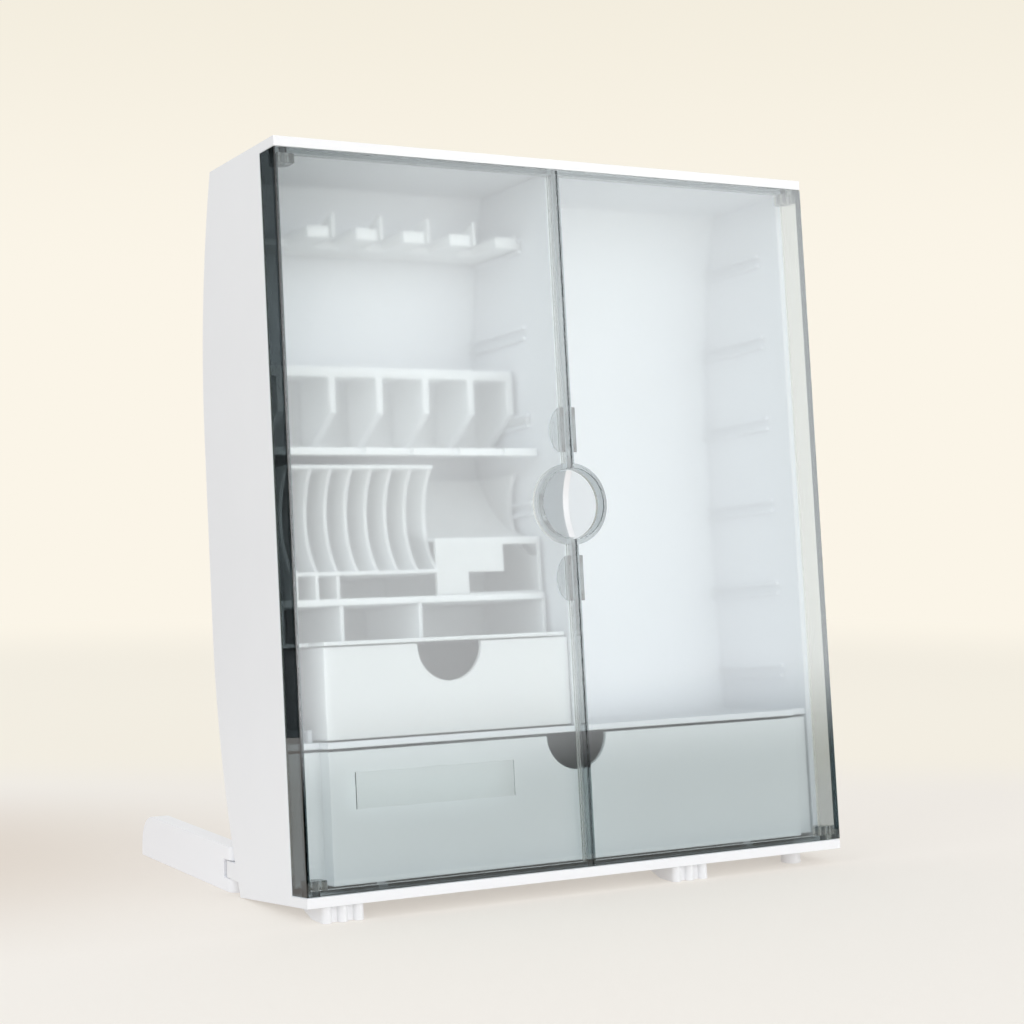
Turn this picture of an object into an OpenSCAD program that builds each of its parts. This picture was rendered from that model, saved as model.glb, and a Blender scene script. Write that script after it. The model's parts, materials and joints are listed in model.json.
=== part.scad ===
// Two-door storage box for bobbins, presser feet and small sewing tools.
// The box is drawn upright in its own frame: x to the right, y from the
// doors to the back, z up the doors, with z = 0 at the top of the bottom
// wall. stand() then leans it back on its feet and on its rear bottom edge.

/* [Case] */
// Outer width of the case
case_w = 262; // [220:1:340]
// Height of the door opening, between the bottom and the top wall
door_h = 295; // [260:1:360]
// Depth of the case at the bulge of the back
case_d = 83.2; // [74:0.1:100]
// Depth of the case at its top and bottom ends
end_d = 65.4; // [60:0.1:72]
// Half height of the flat middle of the back
back_flat = 40; // [20:1:60]
// Thickness of the side walls and of the back
wall = 3; // [2:0.1:4]
// Thickness of the top and bottom walls
end_wall = 4; // [3.5:0.1:6]
// Thickness of the upright wall between the two bays
partition_t = 3; // [2:0.1:4]
// Gap between the doors' meeting flanges and the front of the partition
partition_gap = 1.3; // [1:0.1:3]
// Height of the top of the drawer shelf
shelf_top = 58.8; // [50:0.1:70]
// Thickness of the drawer shelf
shelf_t = 2.6; // [2:0.1:3]

/* [Fits] */
// Running gap between moving pieces and what they run past
fit = 0.3; // [0.2:0.05:0.4]
// Gap above and below a tongue between the two ribs of its rail pair
tongue_gap = 0.2; // [0.15:0.05:0.3]
// Radial running clearance of every pin in its bore
pin_fit = 0.05; // [0.02:0.01:0.1]

/* [Rails] */
// Distance of the top of the lowest rail pair above the drawer shelf
rail_rise = 20.6; // [18:0.1:24]
// Distance of the top of the highest rail pair below the top wall
rail_head = 24.6; // [20:0.1:30]
// Number of rail pairs up each wall
rail_count = 6; // [6:1:6]
// Thickness of one rib of a rail
rib_t = 1.5; // [1.2:0.1:1.8]
// How far a rib stands out from its wall
rib_w = 2; // [1.5:0.1:2.5]
// Open height between the two ribs of a pair
rail_gap = 3.2; // [2.8:0.1:3.5]
// Distance of the front ends of the rails behind the doors
rail_front = 30; // [28:0.5:34]

/* [Doors] */
// Thickness of the door panels and of their outer flanges
door_t = 2; // [1.6:0.1:2.4]
// Depth of the flange down the hinge side of a door
side_flange = 13.6; // [12:0.1:14]
// Depth of the flange where the doors meet
meet_flange = 6.2; // [5:0.1:6.5]
// Thickness of the flange where the doors meet and of the catches beside it
meet_t = 1.8; // [1.5:0.1:2.2]
// Depth of the top and bottom flanges of a door
end_flange = 6.2; // [5:0.1:6.5]
// Gap between a door and the case, and between the two doors
door_gap = 0.3; // [0.2:0.05:0.5]
// Distance of a hinge pin from the side of the case
pivot_x = 6; // [6:0.1:6.5]
// Distance of a hinge pin from the front of the doors
pivot_y = 7; // [6.8:0.1:7.5]
// Radius of the hinge pins and of the leg pins
pin_r = 1.5; // [1.2:0.1:1.8]
// Depth of the hinge pins' bores in the top and bottom walls
pin_reach = 3; // [2:0.1:3.2]
// Radius of a hinge block around its pin
block_r = 3.5; // [3:0.1:3.8]
// Height of a hinge block, its door's end flange included
block_h = 6; // [5:0.1:8]
// Radius of the finger hole where the doors meet
finger_r = 15; // [13:0.5:16]
// Height of the centre of the finger hole
finger_z = 152; // [140:1:160]
// Width of the raised ring around the finger hole
ring_w = 2.2; // [1.8:0.1:2.6]
// Radius of the half-round catches
catch_r = 9.6; // [9:0.1:10]
// Distance of the catches' straight edge behind the front of the doors
catch_y = 2.2; // [2:0.1:3]
// Distance of the catches above and below the finger hole centre
catch_off = 31.4; // [30:0.1:34]
// Width of the blank plaque on the left door
plaque_w = 72; // [50:1:80]
// Height of the blank plaque on the left door
plaque_h = 14.5; // [10:0.5:18]
// How far the plaque stands out from the door
plaque_t = 0.8; // [0.5:0.1:1]
// Distance of the plaque from the hinge side of the door
plaque_x = 22.8; // [15:0.1:35]
// Height of the lower edge of the plaque
plaque_z = 32.5; // [20:0.5:60]

/* [Finger scoop] */
// Gap between the finger hole and the ends of the partition's scoop
scoop_gap = 0.8; // [0.5:0.1:1.5]
// How far the deepest point of the scoop stays in front of the partition
scoop_web = 1.2; // [0.5:0.1:2]
// How far the scoop's horns run back into the partition
scoop_root = 3; // [2:0.5:5]

/* [Drawers] */
// Distance of the drawer fronts behind the front of the doors
drawer_y = 8.6; // [8.6:0.1:10]
// Thickness of the drawer fronts, walls and floors
drawer_t = 2; // [1.6:0.1:2.2]
// Gap between a drawer's side and the wall beside it
drawer_side = 0.6; // [0.4:0.1:1]
// Gap between a drawer's rear wall and the back of the case
drawer_rear = 3; // [2:0.1:4]
// Radius of the thumb notches
notch_r = 14.6; // [12:0.1:15]
// Height of the small drawer
small_h = 36.7; // [34:0.1:40]
// Gap between the small drawer and the shelf
small_lift = 0.8; // [0.4:0.1:0.9]
// Distance of the small drawer's notch centre below the drawer's top
small_notch_drop = 1; // [0:0.1:2]
// Gap between the large drawer and the shelf above it
large_head = 1.1; // [0.6:0.1:2]
// Height of the runners under the large drawer
runner_h = 2.3; // [2.3:0.1:3]
// Width of the runners
runner_w = 4; // [3:0.5:6]
// Distance of the middle of a runner from the side of the case
runner_in = 40; // [30:1:60]
// Gap between a runner's rear end and the back of the case
runner_rear = 4; // [2:0.5:8]
// Thickness of the guide rib beside the small drawer
guide_t = 2; // [1.5:0.1:3]
// Height of the guide rib above the shelf
guide_h = 5; // [3:0.5:8]

/* [Bobbin insert] */
// Thickness of the thin plates of the inserts
plate_t = 1.5; // [1.2:0.1:1.8]
// Distance of the insert ledges behind the front of the doors
ledge_y = 22; // [21:0.5:26]
// Gap between the inserts and the back of the case
insert_rear = 8; // [6:0.5:12]
// Number of bobbin slots
slot_count = 7; // [7:1:7]
// Distance from one bobbin slot to the next
slot_pitch = 9.13; // [8.6:0.01:9.2]
// Distance of the first bobbin slot's wall from the side of the insert
rack_side = 5.2; // [3:0.1:8]
// Open height between the deck and the bobbin rack
rack_lift = 11; // [8:0.5:13]
// Gap between the bobbin rack and the insert above it
rack_head = 4.1; // [2:0.1:8]
// How far the fronts of the rack's plates are hollowed
slat_hollow = 9; // [6:0.5:10]
// Number of rack plates that reach down to the deck
long_slats = 2; // [1:1:3]
// Gap between the small drawer and the notions tray above it
tray_gap = 0.7; // [0.4:0.1:1]
// Distances of the tray's dividers from the side of the insert
tray_posts = [24.7, 60.7];
// How far the tray's lip stands in front of the drawer front below it
tray_lip = 0.4; // [0:0.1:0.6]

/* [Tool scoop] */
// Distance of the scoop's front wall behind the insert ledge
chute_set = 2; // [1:0.5:4]
// Height of the chute's front edge above the floor of the bobbin slots
chute_rise = 13; // [11.5:0.1:14]
// Distance of the top of the scoop below the top of the bobbin rack
chute_drop = 2; // [0:0.5:4]
// Distance of the cell's opening from the rack's side of the scoop
cell_in = 15.4; // [12:0.1:18]
// Distance at which the cell's opening steps up
cell_step = 32.6; // [28:0.1:36]
// Height of the cell's opening before the step
cell_low = 8.5; // [7:0.1:10]
// Height of the cell's opening after the step
cell_high = 21; // [16:0.1:24]
// Radius of the hollow in the scoop's end wall
end_hollow_r = 22; // [18:0.5:24]
// Height of the hollow's centre above the front edge of the chute
end_hollow_z = 13.6; // [12:0.1:20]

/* [Lower foot insert] */
// Number of presser foot bays and of pegs
foot_count = 5; // [5:1:5]
// Space left of the first presser foot bay
foot_margin = 10.9; // [6:0.1:12]
// Distance from one presser foot bay to the next
foot_pitch = 22.1; // [21:0.1:22.3]
// Thickness of the dividers between the presser foot bays
divider_t = 3; // [2.5:0.1:3.4]
// Distance of the insert's underside below the rail pair it runs in
low_drop = 15; // [12:0.5:18]
// Height of the insert
low_h = 39.1; // [36:0.1:42]
// Distance of the fronts of the dividers behind the front of the doors
low_front = 40; // [36:0.5:44]
// Height of the ledge's front edge
ledge_h = 3.2; // [2.5:0.1:4]
// Depth of the level part of the ledge
ledge_lip = 3; // [2:0.1:5]
// Rise of the floor from the ledge to the rear
floor_rise = 4.7; // [3:0.1:7]
// Thickness of the floor at the rear
floor_t = 2.8; // [2:0.1:4]
// Height of the front end of a divider's lower edge above the underside
divider_low = 19.9; // [17:0.1:22]
// Depth at which the dividers' lower edges meet the floor
divider_foot = 62; // [56:0.5:64]
// Height of the band across the fronts of the bays
band_h = 4.4; // [3:0.1:6]
// Distance of the insert's left side wall behind its ledge
side_set = 6; // [4:0.5:8]
// Distance of a notch in the ledge from the left side of its divider
ledge_notch_in = 2.4; // [1:0.1:4]
// Width of the notches in the ledge
ledge_notch_w = 4.2; // [3:0.1:5]
// Depth of the notches in the ledge
ledge_notch_d = 1.6; // [1:0.1:2.5]
// Height of the floor of the notches above the underside
ledge_notch_z = 0.8; // [0.5:0.1:1.5]

/* [Upper foot insert] */
// Width of a peg
peg_w = 9.9; // [8:0.1:11]
// Height of a peg
peg_h = 5; // [4:0.1:6]
// Space left of the first peg
peg_margin = 21.7; // [18:0.1:23]
// Distance of the last peg's far side from the side of the insert
peg_end = 0.9; // [0.5:0.1:2]
// Gap between a peg and the fin beside it
fin_gap = 1.6; // [1:0.1:3]
// Height of the front of a fin
fin_h = 11; // [8:0.5:14]
// Length of the sloping part of a fin
fin_run = 18; // [12:0.5:22]
// Distance of the front edge of the peg plate behind the front of the doors
peg_plate_y = 50; // [44:0.5:54]
// Height of the rim around the peg plate
peg_rim_h = 6; // [5:0.1:8]
// Gap between the peg plate and the back of the case
peg_rear = 2; // [1.5:0.1:6]

/* [Front feet] */
// Distance of the underside of the case from the floor at the front feet
foot_h = 6.3; // [5:0.1:8]
// Distance of the front feet's contact line behind the front of the doors
foot_y = 4.2; // [4:0.1:6]
// Radius of the half-round ribs of the front feet
foot_rib_r = 2.2; // [1.8:0.1:2.6]
// Distance from one half-round rib to the next
foot_rib_pitch = 6.9; // [6.5:0.1:7.5]
// Number of half-round ribs of one foot
foot_rib_count = 3; // [2:1:3]
// Length of the wedge behind the ribs
foot_len = 20; // [14:1:24]
// Length of the level part of a foot's underside
foot_level = 4; // [3:0.5:6]
// Distance of the left foot's first rib from the left side
left_foot_in = 9.2; // [6:0.1:14]
// Distance of the right foot's first rib from the right side
right_foot_in = 87.8; // [70:0.1:100]
// Distance of the stub foot from the right side
stub_in = 17.5; // [10:0.1:25]
// Distance of the stub foot behind the front of the doors
stub_y = 14; // [10:0.5:18]
// Radius of the stub foot
stub_r = 4.4; // [3:0.1:6]

/* [Rear legs] */
// Length of a rear leg from its pivot to its tip
leg_len = 100; // [80:1:110]
// Height of a rear leg
leg_h = 19; // [18:0.5:20]
// Thickness of a rear leg
leg_t = 8; // [7:0.5:9]
// Gap between a folded leg and the back of the case
leg_gap = 1.8; // [1:0.1:4]
// Height of the case lug inside the leg's fork
leg_lug_h = 7; // [6:0.5:8]
// How deep the lug is rooted in the case
leg_lug_root = 4; // [3:0.5:5]
// Radius of the upper corner of the leg's tip
leg_tip_r = 13; // [8:0.5:14]
// Thickness of the web of a leg and of the skin around its pockets
leg_skin = 2.4; // [2:0.1:3]
// Distance of the first pocket from the pivot
leg_root = 9; // [8:0.5:12]
// Thickness of the rib between the two pockets
leg_rib = 2; // [1.5:0.1:3]
// Length of the solid tip of a leg
leg_tip_solid = 15; // [14:0.5:20]

/* [Hidden] */
$fn = 64;
// How far a shape runs into the one that it grows from.
root = 0.5;
// How far a cutting shape runs past what it cuts.
over = 1;
mid_x = case_w / 2;
mid_z = door_h / 2;
top_z = door_h + end_wall;
back_drop = case_d - end_d;
back_run = top_z - mid_z - back_flat;
back_r = (back_run * back_run + back_drop * back_drop) / (2 * back_drop);
arc_y = case_d - back_r;
lean = atan(foot_h / (end_d - foot_y));
row_z = end_d * sin(lean) + end_wall * cos(lean);
heel_y = end_d * cos(lean) - end_wall * sin(lean);
front_low = -end_wall * sin(lean);
leg_top_z = (leg_h - row_z + end_d * sin(lean)) / cos(lean);
leg_x = leg_t / 2;
leg_y = back_y(leg_top_z) * cos(lean) + leg_top_z * sin(lean) + leg_gap + leg_t / 2;
leg_tip = leg_y + leg_len;
leg_lug_z = (leg_h - leg_lug_h) / 2;
row_y = -(leg_tip + front_low) / 2;
foot_front = foot_y - 1;
swing_r = norm([pivot_x, side_flange - pivot_y]) + fit;
clear_x = pivot_x + swing_r + fit;
clear_y = pivot_y + swing_r + fit;
door_z0 = door_gap;
door_z1 = door_h - door_gap;
door_x1 = mid_x - door_gap / 2;
part_x0 = mid_x - partition_t / 2;
part_x1 = mid_x + partition_t / 2;
part_y = meet_flange + partition_gap;
bay_x0 = wall + rib_w + fit;
bay_x1 = part_x0 - rib_w - fit;
rail_first = shelf_top + rail_rise;
rail_pitch = (door_h - rail_head - rail_first) / (rail_count - 1);
tongue_t = rail_gap - 2 * tongue_gap;
tongue_w = rib_w - fit / 3;
small_x1 = part_x0 - drawer_side;
small_z = shelf_top + small_lift;
small_back = back_y(small_z) - wall - drawer_rear;
large_x0 = wall + drawer_side;
large_x1 = case_w - wall - drawer_side;
large_z = runner_h + fit;
large_h = shelf_top - shelf_t - large_head - large_z;
large_back = back_y(0) - wall - drawer_rear;
tray_z = small_z + small_h + tray_gap;
deck_z = tongue_z(1);
deck_top = deck_z + tongue_t;
rack_back = back_y(deck_z) - wall - insert_rear;
rack_x0 = bay_x0 + rack_side;
rack_x1 = rack_x0 + slot_count * slot_pitch + plate_t;
low_z0 = tongue_z(3) - low_drop;
low_z1 = low_z0 + low_h;
low_back = back_y(low_z1) - wall - insert_rear;
rack_z0 = deck_top + rack_lift;
rack_z1 = low_z0 - rack_head;
chute_y = ledge_y + chute_set;
chute_z = rack_z0 + chute_rise;
chute_top = rack_z1 - chute_drop;
scoop_x0 = rack_x1 + fit;
bay_first = bay_x0 + foot_margin;
peg_z = tongue_z(5);
peg_back = back_y(peg_z + peg_rim_h) - wall - peg_rear;
peg_pitch = (bay_x1 - peg_end - peg_w - bay_x0 - peg_margin) / (foot_count - 1);

// Height of the top of rail pair k, counted from 0 at the bottom.
function rail_top(k) = rail_first + k * rail_pitch;

// Height of the underside of the tongue that runs in rail pair k.
function tongue_z(k) = rail_top(k) - rib_t - rail_gap + tongue_gap;

// Depth of the outside of the back at height z.
function back_y(z) =
    abs(z - mid_z) <= back_flat
        ? case_d
        : arc_y + sqrt(back_r * back_r - pow(abs(z - mid_z) - back_flat, 2));

// Radius of the arc that is half the chord wide and depth deep.
function arc_r(half, depth) = (half * half + depth * depth) / (2 * depth);

// Height of the lower foot insert's floor at depth y.
function low_floor(y) =
    low_z0 + ledge_h + floor_rise * (y - ledge_y - ledge_lip) / (low_back - ledge_y - ledge_lip);

// Leans the upright box back so that it stands on the floor.
module stand() {
    translate([-mid_x, row_y, row_z]) rotate([-lean, 0, 0]) children();
}

// Places what is drawn level on the floor behind the box.
module on_floor() {
    translate([-mid_x, row_y, 0]) children();
}

// Shapes drawn level on the floor, seen from the upright frame of the box.
module from_floor() {
    rotate([lean, 0, 0]) translate([0, 0, -row_z]) children();
}

// Mirrors a left-hand shape to the right-hand side of the box.
module right_hand() {
    translate([case_w, 0, 0]) mirror([1, 0, 0]) children();
}

// Box between two corners.
module slab(x0, x1, y0, y1, z0, z1) {
    translate([x0, y0, z0]) cube([x1 - x0, y1 - y0, z1 - z0]);
}

// Extrudes a side outline, drawn in y and z, from x0 to x1.
module along_x(x0, x1) {
    translate([x0, 0, 0]) rotate([90, 0, 90]) linear_extrude(height = x1 - x0) children();
}

// Extrudes a plan outline, drawn in x and y, from z0 to z1.
module along_z(z0, z1) {
    translate([0, 0, z0]) linear_extrude(height = z1 - z0) children();
}

// Side outline of the case, taken in by inset at the back.
module side_outline(y0, z0, z1, inset) {
    intersection() {
        translate([y0, z0]) square([case_d, z1 - z0]);
        union() {
            translate([y0, mid_z - back_flat])
                square([case_d - inset - y0, 2 * back_flat]);
            for (s = [-1, 1])
                intersection() {
                    translate([arc_y, mid_z + s * back_flat])
                        circle(r = back_r - inset, $fn = 128);
                    translate([y0, s > 0 ? mid_z + back_flat : mid_z - back_flat - back_run])
                        square([case_d, back_run]);
                }
        }
    }
}

// ---- Case -------------------------------------------------------------

module leg_lug() {
    translate([leg_x, leg_y, leg_lug_z]) cylinder(r = leg_t / 2, h = leg_lug_h);
    slab(0, leg_t, heel_y - leg_lug_root, leg_y, leg_lug_z, leg_lug_z + leg_lug_h);
}

module leg_pin_bore() {
    translate([leg_x, leg_y, -over]) cylinder(r = pin_r + pin_fit, h = leg_h + 2 * over);
}

module hinge_bore(z0, z1) {
    translate([pivot_x, pivot_y, z0]) cylinder(r = pin_r + pin_fit, h = z1 - z0);
}

// Room for a door's hinge flange, shut and on its way round the pin.
module hinge_side_relief() {
    slab(-over, wall + over, -over, side_flange + fit, 0, door_h);
    translate([pivot_x, pivot_y, 0]) cylinder(r = swing_r, h = door_h);
    hinge_bore(-pin_reach, over);
    hinge_bore(door_h - over, door_h + pin_reach);
}

module runners() {
    for (x = [runner_in, case_w - runner_in])
        slab(x - runner_w / 2, x + runner_w / 2,
            clear_y, back_y(0) - wall - runner_rear, -root, runner_h);
}

module case_shell() {
    color("white") stand() {
        difference() {
            union() {
                along_x(0, case_w) side_outline(0, -end_wall, top_z, 0);
                from_floor() leg_lug();
                right_hand() from_floor() leg_lug();
            }
            along_x(wall, case_w - wall) side_outline(-over, 0, door_h, wall);
            hinge_side_relief();
            right_hand() hinge_side_relief();
            from_floor() leg_pin_bore();
            right_hand() from_floor() leg_pin_bore();
        }
        runners();
    }
}

module drawer_shelf() {
    shelf_back = back_y(shelf_top - shelf_t) - wall - fit;
    color("white") stand() {
        slab(wall, case_w - wall, clear_y, shelf_back, shelf_top - shelf_t, shelf_top);
        slab(clear_x, case_w - clear_x, drawer_y, clear_y, shelf_top - shelf_t, shelf_top);
        slab(clear_x - fit - guide_t, clear_x - fit,
            ledge_y, small_back, shelf_top - root, shelf_top + guide_h);
    }
}

// Hollowed web that closes the finger hole off from the bays.
module finger_scoop() {
    front = door_t + fit;
    half = finger_r - scoop_gap;
    depth = part_y - scoop_web - front;
    hollow_r = arc_r(half, depth);
    difference() {
        slab(part_x0, part_x1, front, part_y + scoop_root, finger_z - half, finger_z + half);
        translate([part_x0 - over, front + depth - hollow_r, finger_z])
            rotate([0, 90, 0]) cylinder(r = hollow_r, h = partition_t + 2 * over, $fn = 96);
    }
}

module centre_partition() {
    color("white") stand() {
        along_x(part_x0, part_x1) side_outline(part_y, shelf_top, door_h, wall + fit);
        finger_scoop();
    }
}

// One wall's rails, standing out from x0 to x1.
module rail_set(x0, x1) {
    for (k = [0 : rail_count - 1]) {
        upper = rail_top(k) - rib_t;
        lower = upper - rail_gap - rib_t;
        rail_end = min(back_y(upper + rib_t), back_y(lower)) - wall - fit;
        slab(x0, x1, rail_front, rail_end, upper, upper + rib_t);
        slab(x0, x1, rail_front, rail_end, lower, lower + rib_t);
    }
}

module left_wall_rails() {
    color("white") stand() rail_set(wall, wall + rib_w);
}

module partition_left_rails() {
    color("white") stand() rail_set(part_x0 - rib_w, part_x0);
}

module partition_right_rails() {
    color("white") stand() rail_set(part_x1, part_x1 + rib_w);
}

module right_wall_rails() {
    color("white") stand() rail_set(case_w - wall - rib_w, case_w - wall);
}

// ---- Front feet -------------------------------------------------------

// Everything above the floor that a front foot may fill.
module above_floor() {
    from_floor() slab(-over, case_w + over, -end_d, end_d, 0, 3 * foot_h);
}

module foot_wedge(x0, x1) {
    deep = -end_wall - foot_h - over;
    along_x(x0, x1) polygon([
        [foot_front, -end_wall],
        [foot_front, deep],
        [foot_y + foot_level, deep],
        [foot_y + foot_len, -end_wall]
    ]);
}

module ribbed_foot(first_x) {
    last_x = first_x + (foot_rib_count - 1) * foot_rib_pitch;
    intersection() {
        union() {
            foot_wedge(first_x - foot_rib_r, last_x + foot_rib_r);
            for (k = [0 : foot_rib_count - 1])
                translate([first_x + k * foot_rib_pitch, foot_front, -end_wall - foot_h - over])
                    cylinder(r = foot_rib_r, h = foot_h + over);
        }
        above_floor();
    }
}

module left_front_foot() {
    color("white") stand() ribbed_foot(left_foot_in);
}

module right_front_foot() {
    color("white") stand() ribbed_foot(case_w - right_foot_in);
}

module front_stub_foot() {
    color("white") stand() intersection() {
        translate([case_w - stub_in, stub_y, -end_wall - foot_h - over])
            cylinder(r = stub_r, h = foot_h + over);
        above_floor();
    }
}

// ---- Doors ------------------------------------------------------------

module door_tray() {
    slab(0, door_x1, 0, door_t, door_z0, door_z1);
    slab(0, door_t, 0, side_flange, door_z0, door_z1);
    slab(door_x1 - meet_t, door_x1, 0, meet_flange, door_z0, door_z1);
    slab(0, door_x1, 0, end_flange, door_z0, door_z0 + door_t);
    slab(0, door_x1, 0, end_flange, door_z1 - door_t, door_z1);
    intersection() {
        translate([mid_x, 0, finger_z]) rotate([-90, 0, 0])
            cylinder(r = finger_r + ring_w, h = meet_flange);
        slab(0, door_x1, -over, meet_flange + over, 0, door_h);
    }
}

module door() {
    difference() {
        door_tray();
        translate([mid_x, -over, finger_z]) rotate([-90, 0, 0])
            cylinder(r = finger_r, h = meet_flange + 2 * over);
        hinge_bore(-over, door_h + over);
    }
}

// Blocks in the corners of the door that carry its two hinge pins.
module hinge_blocks() {
    height = block_h - door_t;
    difference() {
        for (z = [door_z0 + door_t, door_z1 - block_h]) {
            slab(door_t, pivot_x + block_r, door_t, pivot_y, z, z + height);
            translate([pivot_x, pivot_y, z]) cylinder(r = block_r, h = height);
        }
        hinge_bore(0, door_h);
    }
}

module catches() {
    x1 = door_x1 - meet_t;
    for (s = [-1, 1])
        intersection() {
            translate([x1 - meet_t, catch_y, finger_z + s * catch_off])
                rotate([0, 90, 0]) cylinder(r = catch_r, h = meet_t);
            slab(0, x1, door_t, catch_y + catch_r + over, 0, door_h);
        }
}

module hinge_pin(z0, z1) {
    translate([pivot_x, pivot_y, z0]) cylinder(r = pin_r, h = z1 - z0);
}

module upper_hinge_pin() {
    hinge_pin(door_z1 - block_h, door_h + pin_reach - fit);
}

module lower_hinge_pin() {
    hinge_pin(fit - pin_reach, door_z0 + block_h);
}

module left_door() {
    color([0.45, 0.5, 0.53, 0.45]) stand() door();
}

module left_door_blocks() {
    color([0.3, 0.34, 0.36, 0.8]) stand() hinge_blocks();
}

module left_door_catches() {
    color([0.45, 0.5, 0.53, 0.45]) stand() catches();
}

module left_door_plaque() {
    color([0.6, 0.65, 0.68, 0.6]) stand()
        slab(plaque_x, plaque_x + plaque_w, -plaque_t, 0, plaque_z, plaque_z + plaque_h);
}

module left_upper_hinge_pin() {
    color("dimgray") stand() upper_hinge_pin();
}

module left_lower_hinge_pin() {
    color("dimgray") stand() lower_hinge_pin();
}

module right_door() {
    color([0.45, 0.5, 0.53, 0.45]) stand() right_hand() door();
}

module right_door_blocks() {
    color([0.3, 0.34, 0.36, 0.8]) stand() right_hand() hinge_blocks();
}

module right_door_catches() {
    color([0.45, 0.5, 0.53, 0.45]) stand() right_hand() catches();
}

module right_upper_hinge_pin() {
    color("dimgray") stand() right_hand() upper_hinge_pin();
}

module right_lower_hinge_pin() {
    color("dimgray") stand() right_hand() lower_hinge_pin();
}

// ---- Drawers ----------------------------------------------------------

// Open tray with children(0) as its outer and children(1) as its inner plan.
module drawer_tray(z0, h) {
    difference() {
        along_z(z0, z0 + h) children(0);
        along_z(z0 + drawer_t, z0 + h + over) children(1);
    }
}

module thumb_notch(x, z) {
    translate([x, drawer_y - over, z])
        rotate([-90, 0, 0]) cylinder(r = notch_r, h = drawer_t + 2 * over);
}

module small_plan(inset) {
    translate([clear_x + inset, drawer_y + inset])
        square([bay_x1 - clear_x - 2 * inset, small_back - drawer_y - 2 * inset]);
}

// Plan of the small drawer with its front run on to the partition.
module small_outer_plan() {
    small_plan(0);
    translate([clear_x, drawer_y]) square([small_x1 - clear_x, drawer_t]);
}

module small_drawer() {
    color("whitesmoke") stand() difference() {
        drawer_tray(small_z, small_h) {
            small_outer_plan();
            small_plan(drawer_t);
        }
        thumb_notch((clear_x + small_x1) / 2, small_z + small_h - small_notch_drop);
    }
}

// Plan of the large drawer. Its front corners step back so that the hinge
// flange of an open door can swing past them.
module large_plan(inset) {
    step_y = clear_y + inset - drawer_y;
    step_x = clear_x + inset - large_x0;
    difference() {
        translate([large_x0 + inset, drawer_y + inset])
            square([large_x1 - large_x0 - 2 * inset, large_back - drawer_y - 2 * inset]);
        translate([large_x0 - over, drawer_y - over]) square([step_x + over, step_y + over]);
        translate([large_x1 - step_x, drawer_y - over]) square([step_x + over, step_y + over]);
    }
}

module large_drawer() {
    color([0.72, 0.75, 0.77]) stand() difference() {
        drawer_tray(large_z, large_h) {
            large_plan(0);
            large_plan(drawer_t);
        }
        thumb_notch(mid_x, large_z + large_h);
    }
}

// ---- Bobbin rack, notions tray and tool scoop -------------------------

// Tongues on both sides of an insert, for rail pair k.
module tongues(y1, k) {
    slab(bay_x0 - tongue_w, bay_x0, rail_front, y1, tongue_z(k), tongue_z(k) + tongue_t);
    slab(bay_x1, bay_x1 + tongue_w, rail_front, y1, tongue_z(k), tongue_z(k) + tongue_t);
}

// Upright plate of the bobbin rack with its hollowed front.
module slat(x, z0) {
    half = (rack_z1 - rack_z0) / 2;
    hollow_r = arc_r(half, slat_hollow);
    difference() {
        slab(x, x + plate_t, ledge_y, rack_back, z0, rack_z1);
        translate([x - over, ledge_y + slat_hollow - hollow_r, rack_z0 + half])
            rotate([0, 90, 0]) cylinder(r = hollow_r, h = plate_t + 2 * over, $fn = 96);
    }
}

module bobbin_rack() {
    post_x = bay_x0 + tray_posts[0];
    color("white") stand() {
        slab(bay_x0, bay_x1, ledge_y, rack_back, deck_z, deck_top);
        tongues(rack_back, 1);
        for (k = [0 : slot_count])
            slat(rack_x0 + k * slot_pitch, k < long_slats ? deck_top - root : rack_z0 - root);
        slab(rack_x0, rack_x1, ledge_y, rack_back, rack_z0 - plate_t, rack_z0);
        slab(rack_x0, rack_x1, ledge_y, rack_back, rack_z1 - plate_t, rack_z1);
        slab(rack_x0, rack_x1, rack_back - plate_t, rack_back, deck_top - root, rack_z1);
        slab(post_x, post_x + plate_t, chute_y, rack_back, deck_top - root, rack_z0 - root);
    }
}

module notions_tray() {
    color("white") stand() {
        slab(bay_x0, bay_x1, ledge_y, rack_back, tray_z, tray_z + plate_t);
        slab(clear_x, bay_x1, drawer_y - tray_lip, ledge_y, tray_z, tray_z + plate_t);
        slab(bay_x0, bay_x1, rack_back - plate_t, rack_back, tray_z, deck_z);
        for (x = concat([0], tray_posts, [bay_x1 - plate_t - bay_x0]))
            slab(bay_x0 + x, bay_x0 + x + plate_t, ledge_y, rack_back, tray_z, deck_z);
    }
}

// Side outline of the scoop's curved chute, a quarter of a hollow.
module chute_outline() {
    run = rack_back - plate_t - chute_y;
    rise = chute_top - chute_z;
    chute_r = arc_r(run, rise);
    intersection() {
        difference() {
            translate([chute_y, chute_z + chute_r]) circle(r = chute_r + plate_t, $fn = 96);
            translate([chute_y, chute_z + chute_r]) circle(r = chute_r, $fn = 96);
        }
        translate([chute_y, chute_z - 2 * plate_t]) square([run, rise + 2 * plate_t]);
    }
}

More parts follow.
